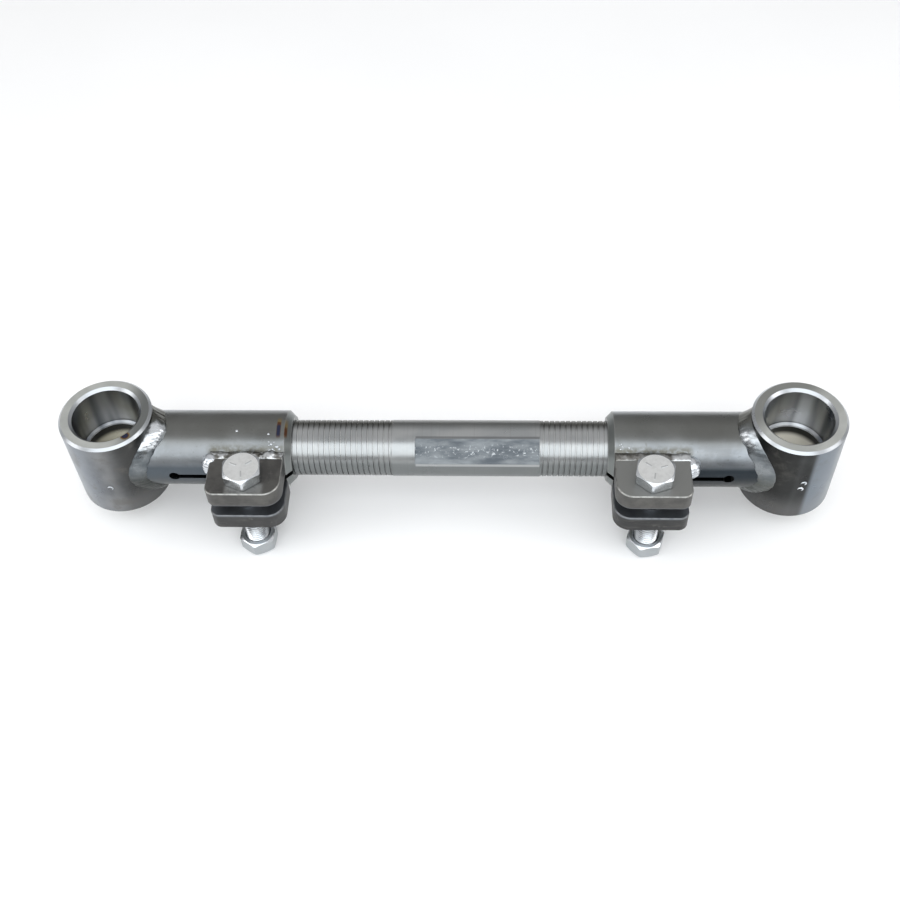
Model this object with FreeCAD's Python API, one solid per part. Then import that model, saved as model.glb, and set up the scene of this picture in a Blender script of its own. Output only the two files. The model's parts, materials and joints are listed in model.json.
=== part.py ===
import FreeCAD, Part
import math
import os

# An adjustable torque arm: two short tubes with an eye welded to the outer end of each, joined by
# one adjusting screw, and a split clamp with a bolt and nut on the open end of each tube.
#
# Millimetres. The origin is the centre of the left eye. +X runs along the arm to the right eye,
# +Z is the axis of both eyes, and the clamps are on the -Y side. Each end is drawn as the left one,
# and the right one is its mirror image.

INCH = 25.4
EYE_CENTRES = 535.0  # left eye to right eye, as the screw is set

EYE_OD = 72.6
EYE_LENGTH = 81.4
EYE_EDGE_CHAMFER = 2.0  # outer edge, both ends
SEAT_DIAMETER = 52.4  # where a bushing half is pressed in
LEAD_IN = 2.2  # a 45 degree chamfer
RIB_DIAMETER = 48.4  # the rib that separates the two bushing halves
RIB_BASE_WIDTH = 4.4
RIB_CREST_WIDTH = 1.6

SCREW_DIAMETER = 1.75 * INCH  # plain centre length
SCREW_PITCH = INCH / 6
THREAD_MAJOR = 43.8
THREAD_DEPTH = 0.85
THREAD_GROOVE = 1.15  # width of the groove at the crest
THREAD_ROOT = 0.4
THREAD_LENGTH = 140.0
SCREW_LEFT_END = 83.0
CENTRE_LENGTH = 115.0
SCREW_END_CHAMFER = 2.5
RUN_OUT = 0.5  # length of the step where a thread ends
THREAD_TO_CENTRE = 1.0  # plain length left between the right-hand thread and the centre
FLAT_LENGTH = 97.0  # wrench flats, next to the right-hand end of the centre length
FLAT_FROM_AXIS = 19.85
FLAT_TILT = 44.0  # degrees from -Y up towards +Z

TUBE_OD = 59.2
RUNNING_CLEARANCE = 0.05  # radial
TUBE_REACH = 144.6  # eye centre to the open end
MOUTH_CHAMFER = 4.6
SLIT_WIDTH = 4.5
SLIT_LENGTH = 93.0  # open end to the centre of the relief hole
RELIEF_HOLE = 8.6
SADDLE_LEG_ON_TUBE = 10.0
SADDLE_LEG_ON_EYE = 6.0

EAR_WIDTH = 2.25 * INCH
EAR_OUTER_END = 83.2  # eye centre to the side of the ear that faces it
EAR_THICKNESS = 0.625 * INCH
EAR_GAP = 12.0
EAR_FRONT = 63.0  # front edge from the tube's axis
EAR_CORNER_AT_EYE = 7.5  # front corner radii, on the side of the eye and of the open end
EAR_CORNER_AT_MOUTH = 13.0
EAR_EDGE_BREAK = 0.8
BOLT_HOLE = 13 / 16 * INCH
BOLT_FROM_EYE = 111.3
BOLT_FROM_AXIS = 44.4

BOLT_DIAMETER = 0.75 * INCH
BOLT_PITCH = INCH / 10
BOLT_LENGTH = 3.5 * INCH
BOLT_THREAD_LENGTH = 1.75 * INCH
BOLT_THREAD_DEPTH = 1.3
BOLT_THREAD_GROOVE = 2.0
BOLT_THREAD_ROOT = 0.5
BOLT_THREAD_MAJOR = 18.8
BOLT_END_CHAMFER = 1.7  # not the thread's depth: a cut that grazes the end's edge fails
CORNERS_TO_FLATS = 1.12  # a little under the sharp hexagon's 1.155: forged corners are rounded
TOP_TO_FLATS = 0.95  # the flat circle left inside the turned-off corners
HEAD_ACROSS_FLATS = 28.2
HEAD_HEIGHT = 10.3
WASHER_FACE = 0.4
WASHER_FACE_DIAMETER = 0.94 * HEAD_ACROSS_FLATS
NUT_ACROSS_FLATS = 27.2
NUT_HEIGHT = 12.7
NUT_BELOW_EAR = 12.5 * BOLT_PITCH  # lower ear to the nut, left slack at the end of the bolt
NUT_COUNTERSINK = 1.0
GRADE_LINE_START = 4.0  # from the bolt's axis
GRADE_LINE_LENGTH = 5.5
GRADE_LINE_WIDTH = 1.1
GRADE_LINE_HEIGHT = 0.3
HEAD_TURN = {"left": 37.4, "right": 20.0}  # degrees about the bolt's axis
NUT_TURN = {"left": 26.0, "right": 11.5}

BEAD_TOE_DROP = 0.8  # how far below the ear's outer face an ear's weld ends on the tube
BEAD_ABOVE_GAP = 1.5
BEAD_CROWN = 1.1  # low enough that the turning bolt head clears it
END_BEAD_RADIUS = {"left": 6.0, "right": 9.5}

SIDES = ("left", "right")
X, Y, Z = FreeCAD.Vector(1, 0, 0), FreeCAD.Vector(0, 1, 0), FreeCAD.Vector(0, 0, 1)
ORIGIN = FreeCAD.Vector(0, 0, 0)


def point(x=0.0, y=0.0, z=0.0):
    return FreeCAD.Vector(x, y, z)


def revolved(profile, axis):
    """A solid of revolution about a line through the origin, from a closed list of points."""
    return Part.Face(Part.makePolygon(profile + profile[:1])).revolve(ORIGIN, axis, 360)


def to_side(shape, side):
    """Put a piece drawn for the left end where it belongs on the given side."""
    if side == "right":
        shape = shape.mirror(ORIGIN, X)
        shape.translate(point(EYE_CENTRES))
    return shape


def cut_thread(rod, major, depth, groove, root, pitch, start, length, left_hand=False):
    """Cut a helical groove in a rod along +Z, from z = start over the given length."""
    clear = 0.2 * depth  # the tool stands this far out of the rod, and its turns stay apart
    flare = clear * (groove - root) / (2 * depth)
    helix = Part.makeLongHelix(pitch, length, major / 2, 0, left_hand)
    outside, inside = major / 2 + clear, major / 2 - depth
    section = [
        point(outside, 0, -groove / 2 - flare),
        point(outside, 0, groove / 2 + flare),
        point(inside, 0, root / 2),
        point(inside, 0, -root / 2),
    ]
    profile = Part.makePolygon(section + section[:1])
    tool = Part.Wire(helix.Edges).makePipeShell([profile], True, True)
    tool.translate(point(z=start))
    threaded = rod.cut(tool)
    turns = length / pitch
    groove_volume = (groove + root) / 2 * depth * math.pi * (major - depth) * turns
    if rod.Volume - threaded.Volume < 0.8 * groove_volume:
        raise RuntimeError(f"the thread of pitch {pitch:.3f} mm wasn't cut")
    return threaded


# ---- eye, tube and the weld between them ----


def eye():
    outer, seat, top = EYE_OD / 2, SEAT_DIAMETER / 2, EYE_LENGTH / 2
    upper_half = [
        (RIB_DIAMETER / 2, RIB_CREST_WIDTH / 2),
        (seat, RIB_BASE_WIDTH / 2),
        (seat, top - LEAD_IN),
        (seat + LEAD_IN, top),
        (outer - EYE_EDGE_CHAMFER, top),
        (outer, top - EYE_EDGE_CHAMFER),
    ]
    lower_half = [(r, -z) for r, z in reversed(upper_half)]
    return revolved([point(r, 0, z) for r, z in upper_half + lower_half], Z)


def tube_outside():
    """The tube's outside as a solid bar, from the eye's axis to the chamfered open end."""
    outer = TUBE_OD / 2
    profile = [
        point(0, 0),
        point(0, outer),
        point(TUBE_REACH - MOUTH_CHAMFER, outer),
        point(TUBE_REACH, outer - MOUTH_CHAMFER),
        point(TUBE_REACH, 0),
    ]
    return revolved(profile, X)


def eye_outside():
    return Part.makeCylinder(EYE_OD / 2, EYE_LENGTH, point(z=-EYE_LENGTH / 2))


def tube():
    bore = Part.makeCylinder(THREAD_MAJOR / 2 + RUNNING_CLEARANCE, TUBE_REACH, ORIGIN, X)
    slit = Part.makeBox(SLIT_LENGTH, TUBE_OD, SLIT_WIDTH)
    slit.translate(point(TUBE_REACH - SLIT_LENGTH, -TUBE_OD, -SLIT_WIDTH / 2))
    relief = Part.makeCylinder(RELIEF_HOLE / 2, TUBE_OD, point(TUBE_REACH - SLIT_LENGTH), -Y)
    return tube_outside().cut([bore, slit, relief, eye_outside()])


def eye_weld():
    """The fillet weld round the saddle where the tube meets the eye."""
    eye_bar, tube_bar = eye_outside(), tube_outside()
    joined = eye_bar.fuse(tube_bar)
    saddle = [
        edge
        for edge in joined.Edges
        if all(on_saddle(vertex) for vertex in edge.discretize(5))
    ]
    welded = joined.makeChamfer(SADDLE_LEG_ON_EYE, SADDLE_LEG_ON_TUBE, saddle)
    return welded.cut([eye_bar, tube_bar])


def on_saddle(p, tolerance=0.01):
    on_eye = abs(math.hypot(p.x, p.y) - EYE_OD / 2) < tolerance
    on_tube = abs(math.hypot(p.y, p.z) - TUBE_OD / 2) < tolerance
    return on_eye and on_tube


# ---- clamp ears and their welds, drawn for the upper ear ----


def ear_inner_face():
    """The ear is set square against the tube, so its lower inner edge just touches."""
    return math.sqrt((TUBE_OD / 2) ** 2 - (EAR_GAP / 2) ** 2)


def ear_blank():
    depth = EAR_FRONT - ear_inner_face()
    plate = Part.makeBox(EAR_WIDTH, depth, EAR_THICKNESS)
    plate.translate(point(EAR_OUTER_END, -EAR_FRONT, EAR_GAP / 2))
    for x, radius in (
        (EAR_OUTER_END, EAR_CORNER_AT_EYE),
        (EAR_OUTER_END + EAR_WIDTH, EAR_CORNER_AT_MOUTH),
    ):
        corner = [e for e in plate.Edges if upright_at(e, x, -EAR_FRONT)]
        plate = plate.makeFillet(radius, corner)
    return plate


def upright_at(edge, x, y, tolerance=0.01):
    return all(math.hypot(v.X - x, v.Y - y) < tolerance for v in edge.Vertexes)


def upper_ear():
    plate = ear_blank()
    free_edges = [
        edge
        for face in plate.Faces
        if abs(abs(face.normalAt(0, 0).z) - 1) < 1e-6
        for edge in face.Edges
        if edge.CenterOfMass.y < -ear_inner_face() - 0.01
    ]
    hole_centre = point(BOLT_FROM_EYE, -BOLT_FROM_AXIS)
    hole = Part.makeCylinder(BOLT_HOLE / 2, EYE_LENGTH, hole_centre)
    return plate.makeChamfer(EAR_EDGE_BREAK, free_edges).cut(hole)


def upper_ear_weld():
    """Fills the groove between the ear's square inner edge and the round tube, over its width."""
    inner, low, top = -ear_inner_face(), EAR_GAP / 2, EAR_GAP / 2 + EAR_THICKNESS
    toe_z = top - BEAD_TOE_DROP
    toe_y = -math.sqrt((TUBE_OD / 2) ** 2 - toe_z**2)
    x = EAR_OUTER_END
    crown = point(x, (inner + toe_y) / 2, top + BEAD_CROWN)
    start, end = point(x, inner, top), point(x, toe_y, toe_z)
    below = [
        end,
        point(x, toe_y, low + BEAD_ABOVE_GAP),
        point(x, inner, low + BEAD_ABOVE_GAP),
        start,
    ]
    outline = Part.Wire([Part.Arc(start, crown, end).toShape()] + Part.makePolygon(below).Edges)
    bead = Part.Face(outline).extrude(point(EAR_WIDTH))
    return bead.cut([tube_outside(), ear_blank()])


def upper_ear_end_weld(r):
    """The short bead down the ear's far side, in the corner that it makes with the tube."""
    low, top = EAR_GAP / 2 + BEAD_ABOVE_GAP, EAR_GAP / 2 + EAR_THICKNESS
    axis_y = -ear_inner_face() + 1.0
    bead = Part.makeCylinder(r, top - low - r, point(EAR_OUTER_END, axis_y, low))
    cap = Part.makeSphere(r, point(EAR_OUTER_END, axis_y, top - r))
    cap = cap.common(Part.makeCylinder(r, top - low, point(EAR_OUTER_END, axis_y, low)))
    bead = bead.fuse(cap)
    beyond_ear = Part.makeBox(2 * r, 4 * r, EYE_LENGTH, point(EAR_OUTER_END, axis_y - 2 * r))
    return bead.cut([tube_outside(), beyond_ear]).removeSplitter()


def lower(shape):
    return shape.mirror(ORIGIN, Z)


# ---- bolt, nut and screw ----


def hexagon(across_flats, height, chamfer_bottom):
    """A hexagonal prism along +Z whose corners are turned off at the top, and below if asked."""
    sharp, corner = across_flats / math.sqrt(3), CORNERS_TO_FLATS * across_flats / 2
    angles = [math.radians(60 * i) for i in range(6)]
    outline = [point(sharp * math.cos(a), sharp * math.sin(a)) for a in angles]
    prism = Part.Face(Part.makePolygon(outline + outline[:1])).extrude(point(z=height))
    flat = TOP_TO_FLATS * across_flats / 2
    fall = (corner - flat) * math.tan(math.radians(30))
    foot = [(corner, 0)] if not chamfer_bottom else [(flat, 0), (corner, fall)]
    turned = [(0, 0)] + foot + [(corner, height - fall), (flat, height), (0, height)]
    return prism.common(revolved([point(r, 0, z) for r, z in turned], Z))


def clamp_bolt(side):
    """Drawn with the underside of its head at z = 0 and its shank along -Z, then put in place."""
    radius, thread_radius = BOLT_DIAMETER / 2, BOLT_THREAD_MAJOR / 2
    shank_end = BOLT_THREAD_LENGTH - BOLT_LENGTH
    profile = [
        point(0, 0, 0),
        point(radius, 0, 0),
        point(radius, 0, shank_end + RUN_OUT),
        point(thread_radius, 0, shank_end),
        point(thread_radius, 0, BOLT_END_CHAMFER - BOLT_LENGTH),
        point(thread_radius - BOLT_END_CHAMFER, 0, -BOLT_LENGTH),
        point(0, 0, -BOLT_LENGTH),
    ]
    shank = cut_thread(
        revolved(profile, Z),
        BOLT_THREAD_MAJOR,
        BOLT_THREAD_DEPTH,
        BOLT_THREAD_GROOVE,
        BOLT_THREAD_ROOT,
        BOLT_PITCH,
        -BOLT_LENGTH - BOLT_PITCH,
        BOLT_THREAD_LENGTH,
    )
    head = hexagon(HEAD_ACROSS_FLATS, HEAD_HEIGHT - WASHER_FACE, False)
    head.translate(point(z=WASHER_FACE))
    washer_face = Part.makeCylinder(WASHER_FACE_DIAMETER / 2, WASHER_FACE)
    bolt = head.fuse([washer_face, shank])
    for turn in (0, 120, 240):
        line = Part.makeBox(GRADE_LINE_LENGTH, GRADE_LINE_WIDTH, 2 * GRADE_LINE_HEIGHT)
        line.translate(point(GRADE_LINE_START, -GRADE_LINE_WIDTH / 2, HEAD_HEIGHT - GRADE_LINE_HEIGHT))
        line.rotate(ORIGIN, Z, turn)
        bolt = bolt.fuse(line)
    bolt = bolt.removeSplitter()
    bolt.rotate(ORIGIN, Z, HEAD_TURN[side])
    bolt.translate(bolt_place(side) + point(z=EAR_GAP / 2 + EAR_THICKNESS))
    return bolt


def clamp_nut(side):
    bore = BOLT_THREAD_MAJOR / 2 + RUNNING_CLEARANCE
    nut = hexagon(NUT_ACROSS_FLATS, NUT_HEIGHT, True).cut(Part.makeCylinder(bore, NUT_HEIGHT))
    for z, flip in ((0, 1), (NUT_HEIGHT, -1)):
        widest = bore + NUT_COUNTERSINK
        mouth = Part.makeCone(widest, bore, NUT_COUNTERSINK, point(z=z), Z * flip)
        nut = nut.cut(mouth)
    nut.rotate(ORIGIN, Z, NUT_TURN[side])
    upper_face = -EAR_GAP / 2 - EAR_THICKNESS - NUT_BELOW_EAR
    nut.translate(bolt_place(side) + point(z=upper_face - NUT_HEIGHT))
    return nut


def bolt_place(side):
    x = BOLT_FROM_EYE if side == "left" else EYE_CENTRES - BOLT_FROM_EYE
    return point(x, -BOLT_FROM_AXIS)


def adjusting_screw():
    """Drawn along +Z from its left end, then turned to lie along +X."""
    centre_start, centre_end = THREAD_LENGTH, THREAD_LENGTH + CENTRE_LENGTH
    length = centre_end + THREAD_LENGTH
    thread_r, centre_r, chamfer = THREAD_MAJOR / 2, SCREW_DIAMETER / 2, SCREW_END_CHAMFER
    left_half = [
        (thread_r - chamfer, 0),
        (thread_r, chamfer),
        (thread_r, centre_start - RUN_OUT),
        (centre_r, centre_start),
    ]
    right_half = [
        (centre_r, centre_end),
        (thread_r, centre_end + RUN_OUT),
        (thread_r, length - chamfer),
        (thread_r - chamfer, length),
    ]
    profile = [(0, 0)] + left_half + right_half + [(0, length)]
    screw = revolved([point(r, 0, z) for r, z in profile], Z)
    for start, left_hand in ((-SCREW_PITCH, False), (centre_end + THREAD_TO_CENTRE, True)):
        screw = cut_thread(
            screw,
            THREAD_MAJOR,
            THREAD_DEPTH,
            THREAD_GROOVE,
            THREAD_ROOT,
            SCREW_PITCH,
            start,
            THREAD_LENGTH + SCREW_PITCH - THREAD_TO_CENTRE,
            left_hand,
        )
    screw.rotate(ORIGIN, Y, 90)
    screw.translate(point(SCREW_LEFT_END))
    flat_start = SCREW_LEFT_END + centre_end - FLAT_LENGTH
    for turn in (0, 180):
        waste = Part.makeBox(FLAT_LENGTH, SCREW_DIAMETER, SCREW_DIAMETER)
        waste.translate(point(flat_start, -SCREW_DIAMETER - FLAT_FROM_AXIS, -SCREW_DIAMETER / 2))
        waste.rotate(ORIGIN, X, turn - FLAT_TILT)
        screw = screw.cut(waste)
    return screw


def welded_end(side):
    """The eight pieces of one end, drawn as the left one."""
    end_weld = upper_ear_end_weld(END_BEAD_RADIUS[side])
    return {
        "eye": eye(),
        "tube": tube(),
        "eye_weld": eye_weld(),
        "upper_ear": upper_ear(),
        "lower_ear": lower(upper_ear()),
        "upper_ear_weld": upper_ear_weld(),
        "lower_ear_weld": lower(upper_ear_weld()),
        "upper_ear_end_weld": end_weld,
    }


def build():
    pieces = {"adjusting_screw": adjusting_screw()}
    for side in SIDES:
        for name, shape in welded_end(side).items():
            pieces[f"{side}_{name}"] = to_side(shape, side)
        pieces[f"{side}_clamp_bolt"] = clamp_bolt(side)
        pieces[f"{side}_clamp_nut"] = clamp_nut(side)
    return pieces


os.makedirs("parts", exist_ok=True)
for node, piece in build().items():
    piece.exportStep(f"parts/{node}.step")
    print(f"{node:26s} volume {piece.Volume / 1000:9.2f} cm3  valid {piece.isValid()}")
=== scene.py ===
import json
import math
import random

import bmesh
import bpy
from mathutils import Matrix, Vector, noise


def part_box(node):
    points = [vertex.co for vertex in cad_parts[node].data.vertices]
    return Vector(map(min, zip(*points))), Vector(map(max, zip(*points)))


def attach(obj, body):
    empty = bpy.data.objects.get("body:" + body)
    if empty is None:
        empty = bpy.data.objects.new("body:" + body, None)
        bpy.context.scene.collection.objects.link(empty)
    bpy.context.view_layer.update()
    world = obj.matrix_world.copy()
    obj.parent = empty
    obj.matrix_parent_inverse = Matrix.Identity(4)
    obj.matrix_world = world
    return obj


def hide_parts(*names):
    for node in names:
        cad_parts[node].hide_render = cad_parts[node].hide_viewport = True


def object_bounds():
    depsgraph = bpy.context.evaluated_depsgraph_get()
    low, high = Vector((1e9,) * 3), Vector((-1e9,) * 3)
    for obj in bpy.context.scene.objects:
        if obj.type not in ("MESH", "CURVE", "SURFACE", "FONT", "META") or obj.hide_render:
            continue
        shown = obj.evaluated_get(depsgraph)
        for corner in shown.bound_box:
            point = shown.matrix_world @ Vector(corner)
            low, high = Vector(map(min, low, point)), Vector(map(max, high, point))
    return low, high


# The looks of an adjustable torque arm. Metres, in the CAD's frame: the origin is the left eye's
# centre, +X runs along the arm, +Z is the eyes' axis and the clamps are on the -Y side.

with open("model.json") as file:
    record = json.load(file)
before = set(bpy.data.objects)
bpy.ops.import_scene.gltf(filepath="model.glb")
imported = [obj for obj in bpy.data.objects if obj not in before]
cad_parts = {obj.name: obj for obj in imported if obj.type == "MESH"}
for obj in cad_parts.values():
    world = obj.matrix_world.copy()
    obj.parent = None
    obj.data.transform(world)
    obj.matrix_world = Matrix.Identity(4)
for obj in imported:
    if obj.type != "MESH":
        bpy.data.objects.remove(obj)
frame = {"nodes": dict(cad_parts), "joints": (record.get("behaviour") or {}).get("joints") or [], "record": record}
cad_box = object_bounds()
dice = random.Random(7)

MM = 0.001
SIDES = ("left", "right")
EYE_X = {m["name"].split("_")[0]: m["pos_m"][0] for m in frame["record"]["mounts"] if "pivot" in m["name"]}
SPAN = EYE_X["right"]
EYE_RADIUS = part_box("left_eye")[1].y
TUBE_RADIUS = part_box("left_tube")[1].z
MOUTH_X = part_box("left_tube")[1].x
EAR_LOW, EAR_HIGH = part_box("left_upper_ear")
EAR_INNER = EAR_HIGH.y  # the edge that is welded to the tube
SCREW_LOW, SCREW_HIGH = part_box("adjusting_screw")
THREAD_LENGTH = 140 * MM
FLAT_LENGTH = 97 * MM
FLAT_TILT = math.radians(44)  # of a wrench flat's normal above the level
FLAT_NORMAL = Vector((0, -math.cos(FLAT_TILT), math.sin(FLAT_TILT)))
FLAT_FROM_AXIS = 19.85 * MM
CENTRE_START, CENTRE_END = SCREW_LOW.x + THREAD_LENGTH, SCREW_HIGH.x - THREAD_LENGTH
FLAT_START = CENTRE_END - FLAT_LENGTH
MOUTH_CHAMFER = 4.6 * MM
FLOOR_GAP = 0.5 * MM  # between the floor and the lowest point of the arm


def pick(side, left, right):
    return left if side == "left" else right


# ---- a short way to write node materials ----


class Surface:
    """A metal material built from procedural nodes in the object's own coordinates."""

    def __init__(self, name, metallic=1.0):
        self.material = bpy.data.materials.new(name)
        self.material.use_nodes = True
        self.tree = self.material.node_tree
        self.shader = self.tree.nodes["Principled BSDF"]
        self.shader.inputs["Metallic"].default_value = metallic
        coordinates = self.tree.nodes.new("ShaderNodeTexCoord")
        self.place, self.normal = coordinates.outputs["Object"], coordinates.outputs["Normal"]

    def feed(self, socket, value):
        if isinstance(value, bpy.types.NodeSocket):
            self.tree.links.new(value, socket)
        else:
            socket.default_value = value

    def math(self, operation, a, b=0.0):
        node = self.tree.nodes.new("ShaderNodeMath")
        node.operation = operation
        self.feed(node.inputs[0], a)
        self.feed(node.inputs[1], b)
        return node.outputs[0]

    def times(self, a, b):
        return self.math("MULTIPLY", a, b)

    def plus(self, a, b):
        return self.math("ADD", a, b)

    def minus(self, a, b):
        return self.math("SUBTRACT", a, b)

    def over(self, a, b):
        return self.math("DIVIDE", a, b)

    def size(self, value):
        return self.math("ABSOLUTE", value)

    def vector(self, operation, a, b=(0, 0, 0)):
        node = self.tree.nodes.new("ShaderNodeVectorMath")
        node.operation = operation
        self.feed(node.inputs[0], a)
        self.feed(node.inputs[1], b)
        gives_number = operation in ("DOT_PRODUCT", "LENGTH", "DISTANCE")
        return node.outputs["Value" if gives_number else "Vector"]

    def split(self, vector):
        node = self.tree.nodes.new("ShaderNodeSeparateXYZ")
        self.feed(node.inputs[0], vector)
        return node.outputs

    def join(self, x=0.0, y=0.0, z=0.0):
        node = self.tree.nodes.new("ShaderNodeCombineXYZ")
        for socket, value in zip(node.inputs, (x, y, z)):
            self.feed(socket, value)
        return node.outputs[0]

    def noise(self, scale, detail=4.0, roughness=0.55, place=None, distortion=0.0):
        node = self.tree.nodes.new("ShaderNodeTexNoise")
        self.feed(node.inputs["Vector"], self.place if place is None else place)
        node.inputs["Scale"].default_value = scale
        node.inputs["Detail"].default_value = detail
        node.inputs["Roughness"].default_value = roughness
        node.inputs["Distortion"].default_value = distortion
        return node.outputs["Fac"]

    def range(self, value, low, high, to_low=0.0, to_high=1.0):
        """A smooth step from to_low to to_high while the value goes from low to high."""
        node = self.tree.nodes.new("ShaderNodeMapRange")
        node.interpolation_type = "SMOOTHSTEP"
        for socket, v in zip(node.inputs, (value, low, high, to_low, to_high)):
            self.feed(socket, v)
        return node.outputs[0]

    def mix(self, factor, a, b):
        node = self.tree.nodes.new("ShaderNodeMix")
        node.data_type = "RGBA"
        self.feed(node.inputs[0], factor)
        for socket, colour in ((node.inputs[6], a), (node.inputs[7], b)):
            self.feed(socket, (*colour, 1) if isinstance(colour, tuple) else colour)
        return node.outputs[2]

    def near(self, centre, reach):
        """1 at a point, falling smoothly to 0 at a distance from it."""
        return self.range(self.vector("DISTANCE", self.place, tuple(centre)), 0.0, reach, 1.0, 0.0)

    def finish(self, colour, roughness, height=None, depth=0.1 * MM, strength=1.0):
        self.feed(self.shader.inputs["Base Color"], colour)
        self.feed(self.shader.inputs["Roughness"], roughness)
        if height is not None:
            bump = self.tree.nodes.new("ShaderNodeBump")
            bump.inputs["Strength"].default_value = strength
            bump.inputs["Distance"].default_value = depth
            self.feed(bump.inputs["Height"], height)
            self.tree.links.new(bump.outputs[0], self.shader.inputs["Normal"])
        return self.material


# ---- materials ----

TINT_STRAW = (0.27, 0.20, 0.09)
TINT_BROWN = (0.12, 0.045, 0.025)
TINT_BLUE = (0.03, 0.045, 0.09)


def heat_tint(s, base, heat, mask=1.0):
    """The straw, brown and blue oxide colours left where a weld was made close by."""
    ragged = s.plus(heat, s.times(s.minus(s.noise(420), 0.5), 0.2))
    colour = base
    for start, end, tint in ((0.1, 0.45, TINT_STRAW), (0.42, 0.56, TINT_BROWN), (0.58, 0.74, TINT_BLUE)):
        colour = s.mix(s.times(s.range(ragged, start, end, 0.0, 0.9), mask), colour, tint)
    return colour


def eye_steel(side):
    s = Surface(f"{side}_eye_steel")
    x, y, z = s.split(s.vector("SUBTRACT", s.place, (EYE_X[side], 0, 0)))
    inward = x if side == "left" else s.times(x, -1.0)  # towards the tube
    radius = s.vector("LENGTH", s.join(x, y))
    end_face = s.range(s.size(s.split(s.normal)[2]), 0.86, 0.97)
    wall_lines = s.noise(1.0, 3, 0.6, s.join(0.0, 0.0, s.times(z, 1600.0)))
    face_lines = s.noise(1.0, 3, 0.6, s.join(s.times(radius, 1500.0)))
    cloud = s.noise(45, 5)
    bands = s.noise(1.0, 2, 0.5, s.vector("MULTIPLY", s.place, (55.0, 55.0, 5.0)))
    # the outside: painted shade towards the tube, a painted blue-grey reflection band on the far side and a paler
    # painted reflection of the floor at the foot; the right eye's wall is painted much darker than the left's, as
    # painted shade
    dark = pick(side, (0.13, 0.136, 0.145), (0.022, 0.023, 0.023))
    light = pick(side, (0.225, 0.23, 0.235), (0.042, 0.044, 0.044))
    wall = s.mix(s.range(cloud, 0.3, 0.7), dark, light)
    wall = s.mix(s.range(bands, 0.42, 0.68, 0.0, pick(side, 0.5, 0.15)), wall, (0.27, 0.275, 0.28))
    shade_by_tube = pick(side, (0.040, 0.040, 0.038), (0.022, 0.022, 0.021))
    wall = s.mix(s.range(inward, -6 * MM, 20 * MM, 0.0, 0.88), wall, shade_by_tube)
    outer_reflection_band = s.range(inward, pick(side, 2, -6) * MM, pick(side, -26, -11) * MM)
    outer_reflection_band = s.times(outer_reflection_band, s.range(inward, -36 * MM, -30 * MM, 0.3, 0.75))
    wall = s.mix(outer_reflection_band, wall, pick(side, (0.235, 0.265, 0.305), (0.23, 0.265, 0.305)))
    wall = s.mix(s.range(z, -8 * MM, -36 * MM, 0.0, 0.3), wall, (0.28, 0.28, 0.28))
    stain = s.range(s.noise(60, 6, 0.65), 0.50, 0.68, 0.0, pick(side, 0.5, 0.25))
    wall = s.mix(stain, wall, (0.12, 0.115, 0.105))
    # the bore: painted reflection strips above the rib, a painted shadow under the rib and a painted beige light
    # on the wall below it
    in_bore = s.range(radius, 31 * MM, 29 * MM)
    bore = s.mix(s.range(bands, 0.36, 0.64), (0.08, 0.09, 0.105), (0.36, 0.37, 0.38))
    for strip in pick(side, (8,), (-22, 10)):
        off = s.size(s.minus(x, strip * MM))
        bore = s.mix(s.range(off, 7 * MM, 2 * MM, 0.0, 0.8), bore, (0.50, 0.525, 0.55))
    lit_below_rib = pick(side, (0.42, 0.40, 0.32), (0.56, 0.54, 0.47))
    lower_bore = s.mix(s.range(z, -8 * MM, -15 * MM), (0.02, 0.02, 0.017), lit_below_rib)
    bore = s.mix(s.range(z, -1.4 * MM, -2.6 * MM), bore, lower_bore)
    wall = s.mix(in_bore, wall, bore)
    # the bright chamfers and the turned end faces
    lean = s.range(s.size(s.split(s.normal)[2]), 0.2, 0.5)
    chamfer = s.times(lean, s.range(s.size(z), 30 * MM, 34 * MM))
    wall = s.mix(chamfer, wall, (0.50, 0.52, 0.54))
    face = s.mix(s.range(cloud, 0.3, 0.7), (0.54, 0.555, 0.53), (0.66, 0.675, 0.645))
    # painted shade on the turned end face: towards the tube on the left eye, towards the tube and the back on the
    # right eye
    if side == "left":
        shade, tone = s.range(inward, 8 * MM, 30 * MM, 0.0, 0.9), (0.17, 0.178, 0.175)
    else:
        towards_back = s.plus(inward, s.times(y, 1.4))
        shade, tone = s.range(towards_back, 0.0, 34 * MM, 0.0, 0.85), (0.27, 0.275, 0.26)
    face = s.mix(shade, face, tone)
    colour = s.mix(end_face, wall, face)
    if side == "left":
        rim, angle = 29.6 * MM, math.radians(-47)
        spot = (rim * math.cos(angle), rim * math.sin(angle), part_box("left_eye")[1].z)
        colour = heat_tint(s, colour, s.near(spot, 6 * MM))
    rough = s.plus(s.range(cloud, 0.3, 0.7, 0.27, 0.35), s.times(end_face, 0.10))
    grain = s.plus(s.mix(end_face, wall_lines, face_lines), s.times(s.noise(1400, 2), 0.3))
    return s.finish(colour, rough, grain, 0.012 * MM, 0.6)


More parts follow.
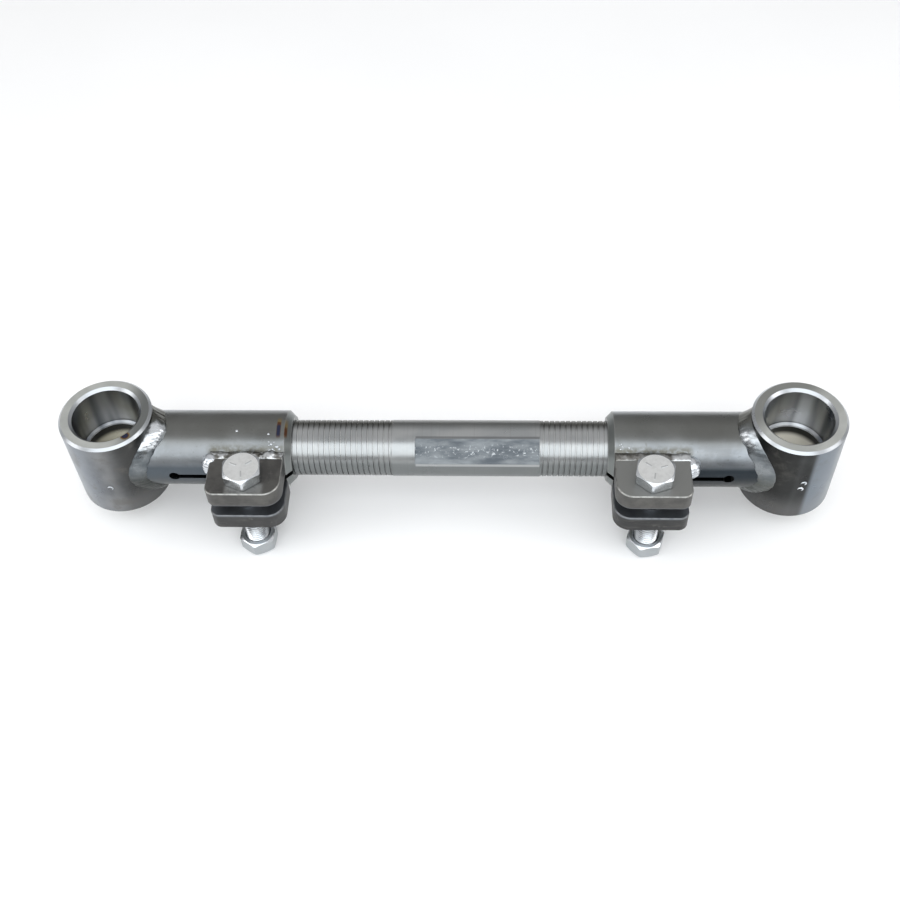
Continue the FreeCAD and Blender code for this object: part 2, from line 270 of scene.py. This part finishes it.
def tube_steel(side):
    s = Surface(f"{side}_tube_steel")
    x, y, z = s.split(s.place)
    along = x if side == "left" else s.minus(SPAN, x)
    cloud = s.noise(30, 5, 0.55)
    lengthwise = s.vector("MULTIPLY", s.place, (10.0, 230.0, 230.0))
    drawn = s.noise(1.0, 4, 0.6, lengthwise)
    colour = s.mix(s.range(cloud, 0.35, 0.65), (0.25, 0.27, 0.292), (0.35, 0.372, 0.395))
    colour = s.mix(s.range(drawn, 0.5, 0.8, 0.0, 0.5), colour, (0.42, 0.435, 0.45))
    height = s.over(z, TUBE_RADIUS)
    top = s.range(height, 0.72, 1.0, 0.0, 0.75)
    colour = s.mix(top, colour, (0.15, 0.15, 0.13))  # painted shade: darker and olive along the top
    speck = s.range(s.noise(240, 5, 0.7), 0.58, 0.72, 0.0, 0.45)
    colour = s.mix(speck, colour, (0.10, 0.095, 0.085))
    blotch = s.range(s.noise(18, 5, 0.65, distortion=0.6), 0.42, 0.60, 0.0, 0.4)
    colour = s.mix(blotch, colour, (0.145, 0.145, 0.135))
    shaded = pick(side, (0.075, 0.09, 0.105), (0.012, 0.018, 0.024))  # painted shade on the side turned to the floor, much darker on the right tube
    colour = s.mix(s.range(height, 0.56, 0.27, 0.0, 0.93), colour, shaded)
    # more painted shade underneath
    colour = s.mix(s.range(height, 0.14, -0.42, 0.0, 0.5), colour, (0.07, 0.07, 0.062))
    # the brown stain beside the clamp's weld
    starts = s.range(along, EAR_LOW.x - 6 * MM, EAR_LOW.x + 2 * MM)
    ear_span = s.times(starts, s.range(along, EAR_HIGH.x + 7 * MM, EAR_HIGH.x))
    above = s.range(s.size(z), 25.8 * MM, 22.0 * MM)
    by_weld = s.times(above, s.range(y, -13 * MM, -18 * MM))
    ragged = s.times(s.times(ear_span, by_weld), s.range(s.noise(300, 5), 0.3, 0.6, 0.3, 0.9))
    colour = s.mix(ragged, colour, (0.12, 0.115, 0.095))
    # the turned chamfer at the open end: dull, with a faint painted highlight along each edge
    lean = s.size(s.split(s.normal)[0])
    colour = s.mix(s.range(lean, 0.5, 0.66), colour, (0.19, 0.202, 0.198))
    for edge in (MOUTH_X - MOUTH_CHAMFER, MOUTH_X):
        off = s.size(s.minus(along, edge))
        colour = s.mix(s.range(off, 0.8 * MM, 0.2 * MM, 0.0, 0.15), colour, (0.45, 0.45, 0.44))
    if side == "left":  # two streaks of heat tint over the shoulder, by the open end
        turn = s.math("ARCTAN2", z, s.times(y, -1.0))
        for place, wide, weight in ((9.4, 2.1, 1.0), (3.8, 1.4, 0.62)):
            across = s.size(s.minus(x, MOUTH_X - place * MM))
            streak = s.range(across, wide * MM, 0.4 * wide * MM)
            streak = s.times(streak, s.range(turn, math.radians(64), math.radians(72)))
            heat = s.range(turn, math.radians(116), math.radians(70), 0.0, weight)
            colour = heat_tint(s, colour, heat, streak)
    rough = s.plus(s.range(cloud, 0.3, 0.7, 0.27, 0.36), s.times(speck, 0.1))
    grain = s.plus(drawn, s.times(s.noise(900, 3), 0.3))
    return s.finish(colour, rough, grain, 0.02 * MM, 0.6)


def ear_steel(side, level):
    s = Surface(f"{side}_{level}_ear_steel", 0.9)
    x, y, z = s.split(s.place)
    up = s.size(s.split(s.normal)[2])
    flat = s.range(up, 0.93, 0.99)
    broken_edge = s.times(s.range(up, 0.35, 0.6), s.range(up, 0.9, 0.8))
    cloud = s.noise(70, 6, 0.6)
    # painted shade: the lower ears are painted darker than the upper ones, and the right lower ear darker still
    if level == "upper":
        dark, light = (0.08, 0.078, 0.075), (0.12, 0.117, 0.11)
    else:
        dark, light = (0.055, 0.055, 0.055), (0.08, 0.08, 0.08)
    colour = s.mix(s.range(cloud, 0.35, 0.65), dark, light)
    if side == "right" and level == "upper":  # its flat top is lighter
        colour = s.mix(s.times(flat, 0.8), colour, (0.27, 0.275, 0.265))
    elif side == "right":
        colour = s.mix(0.4, colour, (0.02, 0.02, 0.02))
    scale_loss = s.range(s.noise(160, 6, 0.7), 0.58, 0.68, 0.0, 0.35)
    colour = s.mix(scale_loss, colour, (0.17, 0.165, 0.155))
    # painted reflection of the bolt's head on the ear's top, between the hole and the front edge
    bolt = bolt_axis(side)
    across = s.size(s.minus(x, bolt.x + 2 * MM))
    highlight_patch = s.times(s.range(across, 16 * MM, 13 * MM), s.range(y, bolt.y - 6 * MM, bolt.y - 11 * MM))
    head_reflection = s.times(s.times(highlight_patch, flat), s.range(s.noise(220, 4), 0.3, 0.55, 0.3, 0.75))
    colour = s.mix(head_reflection, colour, (0.25, 0.25, 0.24))
    cut_lines = s.noise(1.0, 4, 0.6, s.vector("MULTIPLY", s.place, (60.0, 60.0, 420.0)))
    side_face = s.range(up, 0.3, 0.1)
    sawn = s.times(side_face, s.range(cut_lines, 0.5, 0.75, 0.0, 0.35))
    colour = s.mix(sawn, colour, (0.155, 0.15, 0.14))
    # painted light: the faces in the gap between the ears get a lighter blue-grey tone for the light that reaches
    # there
    colour = s.mix(s.range(s.size(z), 8.5 * MM, 6.5 * MM, 0.0, 0.85), colour, (0.14, 0.15, 0.165))
    # painted highlight along the broken edges, strong on the upper ear and faint on the lower one; the same mask
    # makes these edges less rough
    keep = (0.4, 0.8) if level == "upper" else (0.0, 0.2)
    ground_edge_highlight = s.times(broken_edge, s.range(s.noise(260, 4), 0.32, 0.55, *keep))
    colour = s.mix(ground_edge_highlight, colour, (0.42, 0.42, 0.40))
    rough = s.plus(s.range(cloud, 0.3, 0.7, 0.38, 0.48), s.times(ground_edge_highlight, -0.08))
    fine = s.times(s.noise(500, 5, 0.65), 0.7)
    return s.finish(colour, rough, s.plus(s.times(cut_lines, side_face), fine), 0.05 * MM, 0.7)


def zinc_plate():
    s = Surface("zinc_plate")
    cloud = s.noise(120, 3, 0.5)
    colour = s.mix(s.range(cloud, 0.3, 0.7), (0.60, 0.63, 0.66), (0.67, 0.69, 0.71))
    top = s.range(s.split(s.normal)[2], 0.9, 0.98)
    z = s.split(s.place)[2]
    on_head = s.range(z, EAR_HIGH.z + 8 * MM, EAR_HIGH.z + 9 * MM)
    # painted highlight: the head's top face is painted paler than its sides
    face = s.mix(s.range(s.noise(260, 4), 0.35, 0.7), (0.87, 0.88, 0.87), (0.77, 0.78, 0.77))
    colour = s.mix(s.times(top, on_head), colour, face)
    head_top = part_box("left_clamp_bolt")[1].z
    grade_lines = s.range(z, head_top - 0.2 * MM, head_top - 0.05 * MM, 0.0, 0.8)
    colour = s.mix(grade_lines, colour, (0.52, 0.53, 0.53))
    dull = s.range(s.noise(300, 4, 0.7), 0.62, 0.75, 0.0, 0.3)
    colour = s.mix(dull, colour, (0.45, 0.47, 0.48))
    nut_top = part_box("left_clamp_nut")[1].z
    # painted shade on the sideways faces at and below the nut's top: the nut's sides and the bolt's end
    sideways = s.range(s.size(s.split(s.normal)[2]), 0.5, 0.3)
    nut_side = s.times(s.range(z, nut_top + 0.4 * MM, nut_top), sideways)
    colour = s.mix(s.times(nut_side, 0.6), colour, (0.30, 0.32, 0.325))
    rough = s.plus(s.range(cloud, 0.3, 0.7, 0.20, 0.27), s.times(top, 0.1))
    return s.finish(colour, rough, s.noise(700, 3), 0.012 * MM, 0.5)


def screw_steel():
    s = Surface("screw_steel")
    x, y, z = s.split(s.place)
    radius = s.vector("LENGTH", s.join(0.0, y, z))
    turned = s.noise(1.0, 3, 0.6, s.join(s.times(x, 1900.0)))
    rings = s.noise(1.0, 2, 0.6, s.join(s.times(x, 420.0)))
    cloud = s.noise(60, 5, 0.6, s.vector("MULTIPLY", s.place, (0.5, 1, 1)))
    colour = s.mix(s.range(cloud, 0.35, 0.65), (0.37, 0.385, 0.39), (0.435, 0.445, 0.445))
    colour = s.mix(s.range(turned, 0.45, 0.75, 0.0, 0.25), colour, (0.30, 0.30, 0.295))
    colour = s.mix(s.range(rings, 0.5, 0.75, 0.0, 0.3), colour, (0.27, 0.27, 0.265))
    started = s.range(x, CENTRE_START, CENTRE_START + 0.2 * MM)
    in_centre = s.times(started, s.range(x, CENTRE_END, CENTRE_END - 0.2 * MM))
    groove_light = s.range(radius, 21.8 * MM, 21.3 * MM, 0.0, 0.8)
    groove_light = s.times(groove_light, s.minus(1.0, in_centre))
    colour = s.mix(groove_light, colour, (0.66, 0.665, 0.66))  # painted light in the thread grooves, lifting their shade
    # painted shade where it is turned to the floor, and along the back
    height, back = s.over(z, radius), s.over(y, radius)
    colour = s.mix(s.range(height, 0.56, 0.22, 0.0, 0.8), colour, (0.125, 0.135, 0.135))
    behind = s.times(s.range(back, -0.05, 0.40), s.range(in_centre, 0.0, 1.0, 0.93, 0.6))
    colour = s.mix(behind, colour, (0.085, 0.085, 0.075))
    # the wrench flats: dull, with faint grime and small bright nicks
    off_axis = s.size(s.vector("DOT_PRODUCT", s.place, tuple(FLAT_NORMAL)))
    off_plane = s.size(s.minus(off_axis, FLAT_FROM_AXIS))
    on_flat = s.range(off_plane, 0.06 * MM, 0.02 * MM)
    on_flat = s.times(on_flat, s.range(x, FLAT_START - 0.3 * MM, FLAT_START))
    on_flat = s.times(on_flat, in_centre)
    grime = s.range(s.noise(1.0, 5, 0.6, s.vector("MULTIPLY", s.place, (50.0, 190.0, 190.0))), 0.3, 0.7)
    flat_colour = s.mix(grime, (0.215, 0.23, 0.24), (0.095, 0.107, 0.12))
    across_flat = s.vector("DOT_PRODUCT", s.place, (0, FLAT_NORMAL.z, -FLAT_NORMAL.y))
    middle = s.range(s.size(across_flat), 7 * MM, 1 * MM)
    nicks = s.range(s.noise(360, 5, 0.75), 0.56, 0.64, 0.0, 0.9)
    flat_colour = s.mix(s.times(nicks, middle), flat_colour, (0.60, 0.62, 0.64))
    colour = s.mix(on_flat, colour, flat_colour)
    # a painted shade line along the flat's upper edge and a painted highlight along its lower edge
    turn = s.math("ARCTAN2", z, s.times(y, -1.0))
    for degrees, tone in ((73, (0.16, 0.165, 0.17)), (14, (0.44, 0.45, 0.455))):
        off = s.size(s.minus(turn, math.radians(degrees)))
        edge = s.times(s.range(off, math.radians(4), math.radians(1.5), 0.0, 0.7), in_centre)
        colour = s.mix(s.times(edge, s.range(x, FLAT_START, FLAT_START + MM)), colour, tone)
    rough = s.plus(s.range(cloud, 0.3, 0.7, 0.27, 0.33), s.times(on_flat, 0.12))
    dents = s.times(s.times(on_flat, s.noise(260, 6, 0.7)), 1.2)
    return s.finish(colour, rough, s.plus(s.times(turned, 0.6), dents), 0.018 * MM, 0.7)


def weld_metal(name, bright):
    """Clean, blue-grey metal for the end beads and the spatter, brighter for the punch marks."""
    s = Surface(name)
    cloud = s.noise(90, 4, 0.55)
    dark, light = (tuple(c * bright for c in tone) for tone in ((0.50, 0.53, 0.56), (0.68, 0.70, 0.73)))
    colour = s.mix(s.range(cloud, 0.35, 0.65), dark, light)
    soot_and_shade = s.range(s.noise(90, 4, 0.6), 0.60, 0.74, 0.0, 0.3)
    colour = s.mix(soot_and_shade, colour, (0.19, 0.18, 0.155))
    return s.finish(colour, s.range(cloud, 0.3, 0.7, 0.32, 0.24), s.noise(700, 4, 0.6), 0.02 * MM, 0.6)


def eye_weld_metal(side):
    """Grey down the front, a painted highlight on the shoulder, olive painted shade behind and dark painted shade
    underneath.
    """
    s = Surface(f"{side}_eye_weld_metal")
    _, y, z = s.split(s.place)
    turn = s.math("ARCTAN2", z, s.times(y, -1.0))
    ragged = s.plus(turn, s.times(s.minus(s.noise(160, 4), 0.5), 0.35))
    cloud = s.noise(90, 4, 0.55)
    dark = pick(side, (0.11, 0.125, 0.135), (0.14, 0.155, 0.165))
    light = pick(side, (0.19, 0.205, 0.215), (0.23, 0.245, 0.255))
    colour = s.mix(s.range(cloud, 0.35, 0.65), dark, light)
    # painted shade: olive behind, dark underneath
    olive = pick(side, (0.095, 0.095, 0.082), (0.14, 0.14, 0.125))
    colour = s.mix(s.range(ragged, math.radians(76), math.radians(92), 0.0, 0.9), colour, olive)
    soot_and_shade = pick(side, (0.045, 0.047, 0.042), (0.085, 0.09, 0.082))
    colour = s.mix(s.range(s.over(z, TUBE_RADIUS), 0.35, -0.2, 0.0, 0.85), colour, soot_and_shade)
    # painted highlight on the shoulder
    low, high = pick(side, (44, 86), (52, 80))
    highlight_patch = s.times(s.range(ragged, math.radians(low), math.radians(low + 10)),
                   s.range(ragged, math.radians(high), math.radians(high - 8)))
    tone, most = pick(side, ((0.82, 0.85, 0.88), 0.9), ((0.55, 0.57, 0.59), 0.75))
    colour = s.mix(s.times(highlight_patch, s.range(s.noise(120, 4), 0.3, 0.5, 0.55, most)), colour, tone)
    colour = s.mix(s.range(s.noise(110, 6, 0.7), 0.58, 0.72, 0.0, 0.35), colour, (0.14, 0.135, 0.115))
    return s.finish(colour, s.range(cloud, 0.3, 0.7, 0.33, 0.25), s.noise(700, 4, 0.6), 0.02 * MM, 0.6)


def clamp_weld_metal(side):
    """Brown and sooty, with painted highlights on its lumps: all along on the left, near the ear's far end on the
    right.
    """
    s = Surface(f"{side}_clamp_weld_metal")
    x = s.split(s.place)[0]
    along = x if side == "left" else s.minus(SPAN, x)
    colour = s.mix(s.range(s.noise(120, 5, 0.6), 0.35, 0.65), (0.13, 0.125, 0.11), (0.27, 0.265, 0.25))
    # painted highlights on the lumps
    lump_highlights = s.range(s.noise(150, 3, 0.5), 0.42, 0.54)
    if side == "right":
        lump_highlights = s.times(lump_highlights, 0.25)
        lump_highlights = s.math("MAXIMUM", lump_highlights, s.range(along, EAR_LOW.x + 15 * MM, EAR_LOW.x + 12 * MM))
    colour = s.mix(s.times(lump_highlights, 0.85), colour, (0.70, 0.72, 0.73))
    return s.finish(colour, 0.3, s.noise(600, 4, 0.6), 0.03 * MM, 0.6)


def floor_material():
    s = Surface("pale_floor", 0.0)
    colour = s.mix(s.range(s.noise(3, 3), 0.3, 0.7), (0.90, 0.90, 0.90), (0.92, 0.92, 0.92))
    return s.finish(colour, 0.9)


# ---- welds, spatter and punch marks ----


def bolt_axis(side):
    joint = next(j for j in frame["joints"] if j["name"] == f"{side}_bolt_turn")
    return Vector(joint["pos_m"])


def to_side(p, side):
    return p if side == "left" else Vector((SPAN - p.x, p.y, p.z))


def smooth_piece(name, bm, body, slot_name, *nodes):
    """Turn a finished bmesh into a smooth-shaded piece that rides on a body."""
    bmesh.ops.recalc_face_normals(bm, faces=bm.faces)
    mesh = bpy.data.meshes.new(name)
    bm.to_mesh(mesh)
    bm.free()
    mesh.shade_smooth()
    piece = bpy.data.objects.new(name, mesh)
    bpy.context.collection.objects.link(piece)
    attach(piece, body)
    if nodes:
        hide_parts(*nodes)
    return piece


def loft(rings, closed):
    """A closed solid through rings of points: joined end to start, or capped at both ends."""
    bm = bmesh.new()
    rows = [[bm.verts.new(p) for p in ring] for ring in rings]
    around = len(rows[0])
    pairs = list(zip(rows, rows[1:] + rows[:1])) if closed else list(zip(rows, rows[1:]))
    for a, b in pairs:
        for j in range(around):
            k = (j + 1) % around
            bm.faces.new((a[j], a[k], b[k], b[j]))
    if not closed:
        bm.faces.new(rows[0])
        bm.faces.new(rows[-1])
    return bm


def ripple(travel, u, pitch):
    """Height from 0 to 1 of the overlapping, crescent-shaped ripples of a run of weld."""
    crescent = travel / pitch + 0.55 * (2 * u - 1) ** 2
    wobble = 0.35 * noise.noise(Vector((travel * 60, 3.1, 0)))
    return abs(math.sin(math.pi * (crescent + wobble)))


def fade(value, nought, one):
    """Straight from 0 to 1 while a value goes from one limit to the other."""
    return min(1.0, max(0.0, (value - nought) / (one - nought)))


def unevenness(p, scale):
    return noise.noise(p * scale)


ACROSS = 14  # points over a bead from toe to toe


def eye_weld(side):
    """The fillet weld round the saddle of tube and eye, started and ended in a heavy blob on top."""
    steps, pitch = 760, 3.4 * MM
    leg_tube, leg_eye, crown = 9.0 * MM, 5.6 * MM, pick(side, 1.2, 0.8) * MM
    seed = pick(side, 11.0, 47.0)
    blob_at, blob_size = pick(side, (70, 1.0), (76, 0.3))
    ripple_height = pick(side, 0.13, 0.07)
    rings, travel, last = [], 0.0, None
    for i in range(steps):
        a = 2 * math.pi * i / steps
        around_tube = Vector((0, -math.cos(a), math.sin(a)))
        y, z = TUBE_RADIUS * around_tube.y, TUBE_RADIUS * around_tube.z
        root = Vector((math.sqrt(EYE_RADIUS**2 - y**2), y, z))
        from_eye = Vector((root.x, root.y, 0)) / EYE_RADIUS
        travel += (root - last).length if last else 0.0
        last = root
        gap = (math.degrees(a) - blob_at + 180) % 360 - 180
        blob = blob_size * math.exp(-((gap / 17) ** 2))
        behind = fade(math.degrees(a), 86, 104) * fade(math.degrees(a), 285, 267)
        waver = Vector((seed + 6 * math.cos(a), 6 * math.sin(a), 0))
        toe_t = root + Vector((leg_tube * (1 + 0.14 * noise.noise(waver) + 0.35 * blob), 0, 0))
        away = (around_tube - around_tube.dot(from_eye) * from_eye).normalized()
        toe_e = root + away * leg_eye * (1 + 0.10 * noise.noise(waver * 1.3) + 0.2 * max(0.0, math.sin(a)))
        flat = Vector((toe_e.x, toe_e.y, 0))
        toe_e = flat * (EYE_RADIUS / flat.length) + Vector((0, 0, toe_e.z))
        out = (from_eye + around_tube).normalized()
        ring = []
        for j in range(ACROSS + 1):
            u = j / ACROSS
            arch = 4 * u * (1 - u)
            rise = crown * (1 + 1.2 * blob - 1.5 * behind) * arch
            ripples = (ripple_height + 0.13 * blob) * (1 - 0.6 * behind) * MM
            rise += ripples * ripple(travel, u, pitch) * arch**0.6
            rise += pick(side, 0.4, 0.2) * MM * (0.2 + blob) * arch * unevenness(root + out * u * 0.01, 110)
            p = toe_e.lerp(toe_t, u) + out * (rise - 0.12 * MM * (1 - arch))
            ring.append(to_side(p, side))
        ring.append(to_side(toe_t - around_tube * 1.2 * MM, side))
        ring.append(to_side(root - out * 1.5 * MM, side))
        ring.append(to_side(toe_e - from_eye * 1.2 * MM, side))
        rings.append(ring)
    name, node = f"{side}_eye_bead", f"{side}_eye_weld"
    return smooth_piece(name, loft(rings, True), f"{side}_end", "weld_metal", node)


def ear_weld(side, level):
    """The bead in the groove between an ear's inner edge and the tube, ragged near the open end."""
    flip = 1 if level == "upper" else -1
    x0, x1 = EAR_LOW.x - 0.8 * MM, EAR_HIGH.x - 0.5 * MM
    steps, pitch = 260, 3.1 * MM
    top, toe_z = EAR_HIGH.z, EAR_HIGH.z - 0.8 * MM
    lap = Vector((0, EAR_INNER, top))
    bolt_x, clear_reach = bolt_axis("left").x, 7 * MM
    groove_depth = 14.4 * MM  # down between the ear and the tube
    out = Vector((0, -0.35, 0.94))
    rings = []
    for i in range(steps + 1):
        t = i / steps
        end = min(1.0, math.sqrt(max(0.0, 1 - (abs(2 * t - 1)) ** 26)) + 0.03)
        ragged = pick(side, 0.9, 0.6) + 0.3 * max(0.0, (t - 0.45) / 0.55)
        x = x0 + (x1 - x0) * t
        waver = noise.noise(Vector((x * 120, pick(side, 5.0, 9.0), flip)))
        clear = 0.35 + 0.65 * min(1.0, (abs(x - bolt_x) / clear_reach) ** 2)  # lower by the bolt's head
        slide = math.asin(toe_z / TUBE_RADIUS) + 0.045 * waver * ragged
        upper = TUBE_RADIUS * Vector((0, -math.cos(slide), math.sin(slide)))
        ring = []
        for j in range(ACROSS + 1):
            u = j / ACROSS
            arch = 4 * u * (1 - u)
            rise = (1.15 + 0.45 * waver * ragged) * MM * arch
            rise += 0.22 * MM * ripple(x, u, pitch) * arch**0.6
            rise += ragged * 1.1 * MM * arch * unevenness(Vector((x, u * 0.01, flip)), 240)
            p = lap.lerp(upper, u) + out * rise * end * clear
            ring.append(Vector((x, p.y, p.z)))
        for depth in (3.0 * MM, 7.0 * MM, 11.0 * MM, groove_depth):
            z = top - depth
            ring.append(Vector((x, 0.3 * MM - math.sqrt(TUBE_RADIUS**2 - z**2), z)))
        ring.append(Vector((x, EAR_INNER - 0.2 * MM, top - groove_depth)))
        rings.append([to_side(Vector((p.x, p.y, flip * p.z)), side) for p in ring])
    name = f"{side}_{level}_ear"
    return smooth_piece(f"{name}_bead", loft(rings, False), f"{side}_end", "weld_metal", f"{name}_weld")


def end_weld(side):
    """The lumpy bead down the corner between the ear's far side and the tube."""
    node = f"{side}_upper_ear_end_weld"
    low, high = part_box(node)
    radius, lap = pick(side, (1.3, 5.5 * MM), (0.98, 0.2 * MM))
    radius *= high.x - low.x
    x_ear = EAR_LOW.x
    y = EAR_INNER + 1.0 * MM
    bottom, top = low.z + 0.3 * MM, high.z + pick(side, 2.0, -0.2) * MM
    sunk = 1.5 * MM  # at most, into the tube
    steps, around = 64, 40
    rings = []
    for i in range(steps + 1):
        t = i / steps
        z = bottom + (top - bottom) * t
        cap = math.sqrt(max(0.0, 1 - max(0.0, (t - 0.45) / 0.56) ** 2)) * min(1.0, 0.55 + 3 * t)
        r = radius * max(0.04, cap) * (0.93 + 0.07 * abs(math.sin(math.pi * t * 4.5)))
        ring = []
        for j in range(around):
            a = 2 * math.pi * j / around
            p = Vector((x_ear - r * math.cos(a) * 0.98, y + r * math.sin(a) * 0.95, z))
            bulge = 1 + 0.07 * unevenness(p + Vector((0, 0, pick(side, 0.3, 0.7))), 260)
            p.x = min(x_ear + lap, x_ear + (p.x - x_ear) * bulge)
            in_wall = (TUBE_RADIUS - sunk) / math.hypot(p.y, p.z)
            if in_wall > 1:  # never through the tube's wall
                p.y, p.z = p.y * in_wall, p.z * in_wall
            ring.append(to_side(p, side))
        rings.append(ring)
    return smooth_piece(f"{side}_end_bead", loft(rings, False), f"{side}_end", "weld_metal", node)


def droplet(bm, centre, out, size):
    """A spattered drop: a flattened, slightly uneven bead half sunk in the surface."""
    made = bmesh.ops.create_icosphere(bm, subdivisions=2, radius=size)["verts"]
    turn = out.to_track_quat("Z", "Y").to_matrix()
    for v in made:
        p = v.co * (1 + 0.22 * unevenness(v.co + centre, 900))
        p.z *= 0.6
        v.co = centre + turn @ p


def spatter(side):
    """Drops on the tube: a cluster by the clamp's weld near the open end, and a few bigger ones."""
    bm = bmesh.new()
    cluster, size = pick(side, (14, (0.5, 1.2)), (6, (0.35, 0.7)))
    drops = []
    for _ in range(cluster):
        x = dice.uniform(MOUTH_X - 17 * MM, MOUTH_X - 6 * MM)
        drops.append((x, dice.uniform(46, 62), dice.uniform(*size) * MM))
    if side == "left":
        drops += [(MOUTH_X - 42 * MM, 77, 1.2 * MM), (MOUTH_X - 17 * MM, 72, 1.0 * MM)]
    for x, degrees, size in drops:
        a = math.radians(degrees)
        out = Vector((0, -math.cos(a), math.sin(a)))
        centre = Vector((x, 0, 0)) + out * (TUBE_RADIUS - 0.1 * MM)
        droplet(bm, to_side(centre, side), out, size)
    return smooth_piece(f"{side}_spatter", bm, f"{side}_end", "weld_metal")


def punch_marks(side):
    """Generic inspection punch marks: the raised rims of small dents on the eye's front."""
    marks = pick(side, ((-90, -7.5),), ((-84, 3.5), (-86, -3.5)))
    bm = bmesh.new()
    rim, wire = 2.0 * MM, pick(side, 0.6, 0.85) * MM
    for degrees, z in marks:
        a = math.radians(degrees)
        out = Vector((math.cos(a), math.sin(a), 0))
        along = Vector((-out.y, out.x, 0))
        centre = Vector((EYE_X[side], 0, z * MM)) + out * (EYE_RADIUS - 0.05 * MM)
        rows = []
        for i in range(15):
            turn = math.radians(-60 + 240 * i / 14)
            thick = wire * math.sin(math.pi * (i + 0.6) / 15.2)
            spoke = along * math.cos(turn) + Vector((0, 0, 1)) * math.sin(turn)
            row = []
            for k in range(8):
                b = 2 * math.pi * k / 8
                p = centre + spoke * (rim + thick * math.cos(b)) + out * thick * math.sin(b)
                row.append(bm.verts.new(p))
            rows.append(row)
        for p, q in zip(rows, rows[1:]):
            for k in range(8):
                bm.faces.new((p[k], p[(k + 1) % 8], q[(k + 1) % 8], q[k]))
        bm.faces.new(rows[0])
        bm.faces.new(rows[-1])
    return smooth_piece(f"{side}_punch_marks", bm, f"{side}_end", "eye_steel")


def coat(piece, material):
    piece.data.materials.clear()
    piece.data.materials.append(material)


def dress():
    nodes, zinc = frame["nodes"], zinc_plate()
    coat(nodes["adjusting_screw"], screw_steel())
    for side in SIDES:
        coat(nodes[f"{side}_eye"], eye_steel(side))
        coat(nodes[f"{side}_tube"], tube_steel(side))
        for level in ("upper", "lower"):
            coat(nodes[f"{side}_{level}_ear"], ear_steel(side, level))
        coat(nodes[f"{side}_clamp_bolt"], zinc)
        coat(nodes[f"{side}_clamp_nut"], zinc)
        bright, clamp = weld_metal(f"{side}_weld_metal", 1.05), clamp_weld_metal(side)
        coat(eye_weld(side), eye_weld_metal(side))
        for level in ("upper", "lower"):
            coat(ear_weld(side, level), clamp)
        coat(end_weld(side), bright)
        coat(spatter(side), bright)
        coat(punch_marks(side), weld_metal(f"{side}_bright_steel", 1.2))


# ---- camera, light and floor ----


def place_camera():
    """In front of the clamps' side, looking down at it by about 52 degrees."""
    camera = bpy.data.objects.new("camera", bpy.data.cameras.new("camera"))
    bpy.context.collection.objects.link(camera)
    camera.data.lens = 49.6
    camera.data.sensor_width = 36
    right, up = Vector((0.9990, 0.0311, -0.0322)), Vector((-0.0046, 0.7855, 0.6189))
    forward = Vector((-0.0445, 0.6181, -0.7848)).normalized()
    turn = Matrix((right, up, -forward)).transposed()
    camera.matrix_world = Matrix.Translation((0.3113, -0.6093, 0.7711)) @ turn.to_4x4()
    bpy.context.scene.camera = camera


def softbox(name, centre, direction, distance, size, power, colour=(1, 1, 1), in_gloss=True):
    light = bpy.data.lights.new(name, "AREA")
    light.shape, light.size, light.size_y = "RECTANGLE", *size
    light.energy, light.color = power, colour
    lamp = bpy.data.objects.new(name, light)
    bpy.context.collection.objects.link(lamp)
    direction = Vector(direction).normalized()
    lamp.location = centre + direction * distance
    lamp.rotation_mode = "QUATERNION"
    lamp.rotation_quaternion = direction.to_track_quat("Z", "Y")
    lamp.visible_glossy = in_gloss


def elevation(degrees, azimuth=0):
    e, a = math.radians(degrees), math.radians(azimuth)
    return (math.sin(a) * math.cos(e), -math.cos(a) * math.cos(e), math.sin(e))


def light_room(lowest):
    world = bpy.data.worlds.new("studio")
    bpy.context.scene.world = world
    world.use_nodes = True
    tree = world.node_tree
    place = tree.nodes.new("ShaderNodeTexCoord").outputs["Generated"]
    split = tree.nodes.new("ShaderNodeSeparateXYZ")
    ramp = tree.nodes.new("ShaderNodeValToRGB")
    tree.links.new(place, split.inputs[0])
    tree.links.new(split.outputs[2], ramp.inputs[0])
    stops = ((0.0, 0.22), (0.15, 0.38), (0.6, 0.58), (0.85, 0.74), (1.0, 0.68))
    while len(ramp.color_ramp.elements) < len(stops):
        ramp.color_ramp.elements.new(0.5)
    for element, (position, grey) in zip(ramp.color_ramp.elements, stops):
        element.position, element.color = position, (grey, grey, grey * 1.01, 1)
    tree.links.new(ramp.outputs[0], tree.nodes["Background"].inputs[0])
    tree.nodes["Background"].inputs[1].default_value = 1.0

    middle = Vector((SPAN / 2, 0, 0))
    softbox("front_softbox", middle, elevation(45), 1.5, (2.2, 1.5), 15.5, (0.92, 0.97, 1.0))
    softbox("left_softbox", middle, elevation(30, -75), 1.3, (0.5, 0.9), 3.0)
    softbox("right_softbox", middle, elevation(30, 75), 1.3, (0.5, 0.9), 3.0)
    softbox("overhead_fill", middle, elevation(84), 2.0, (3.0, 3.0), 18.0, in_gloss=False)

    bm = bmesh.new()
    bmesh.ops.create_grid(bm, x_segments=2, y_segments=2, size=6)
    bmesh.ops.translate(bm, verts=bm.verts, vec=(SPAN / 2, 0, lowest))
    mesh = bpy.data.meshes.new("floor")
    bm.to_mesh(mesh)
    bm.free()
    floor = bpy.data.objects.new("floor", mesh)
    bpy.context.collection.objects.link(floor)
    coat(floor, floor_material())


dress()
place_camera()
light_room(cad_box[0].z - FLOOR_GAP)
bpy.context.scene.view_settings.view_transform = "Standard"
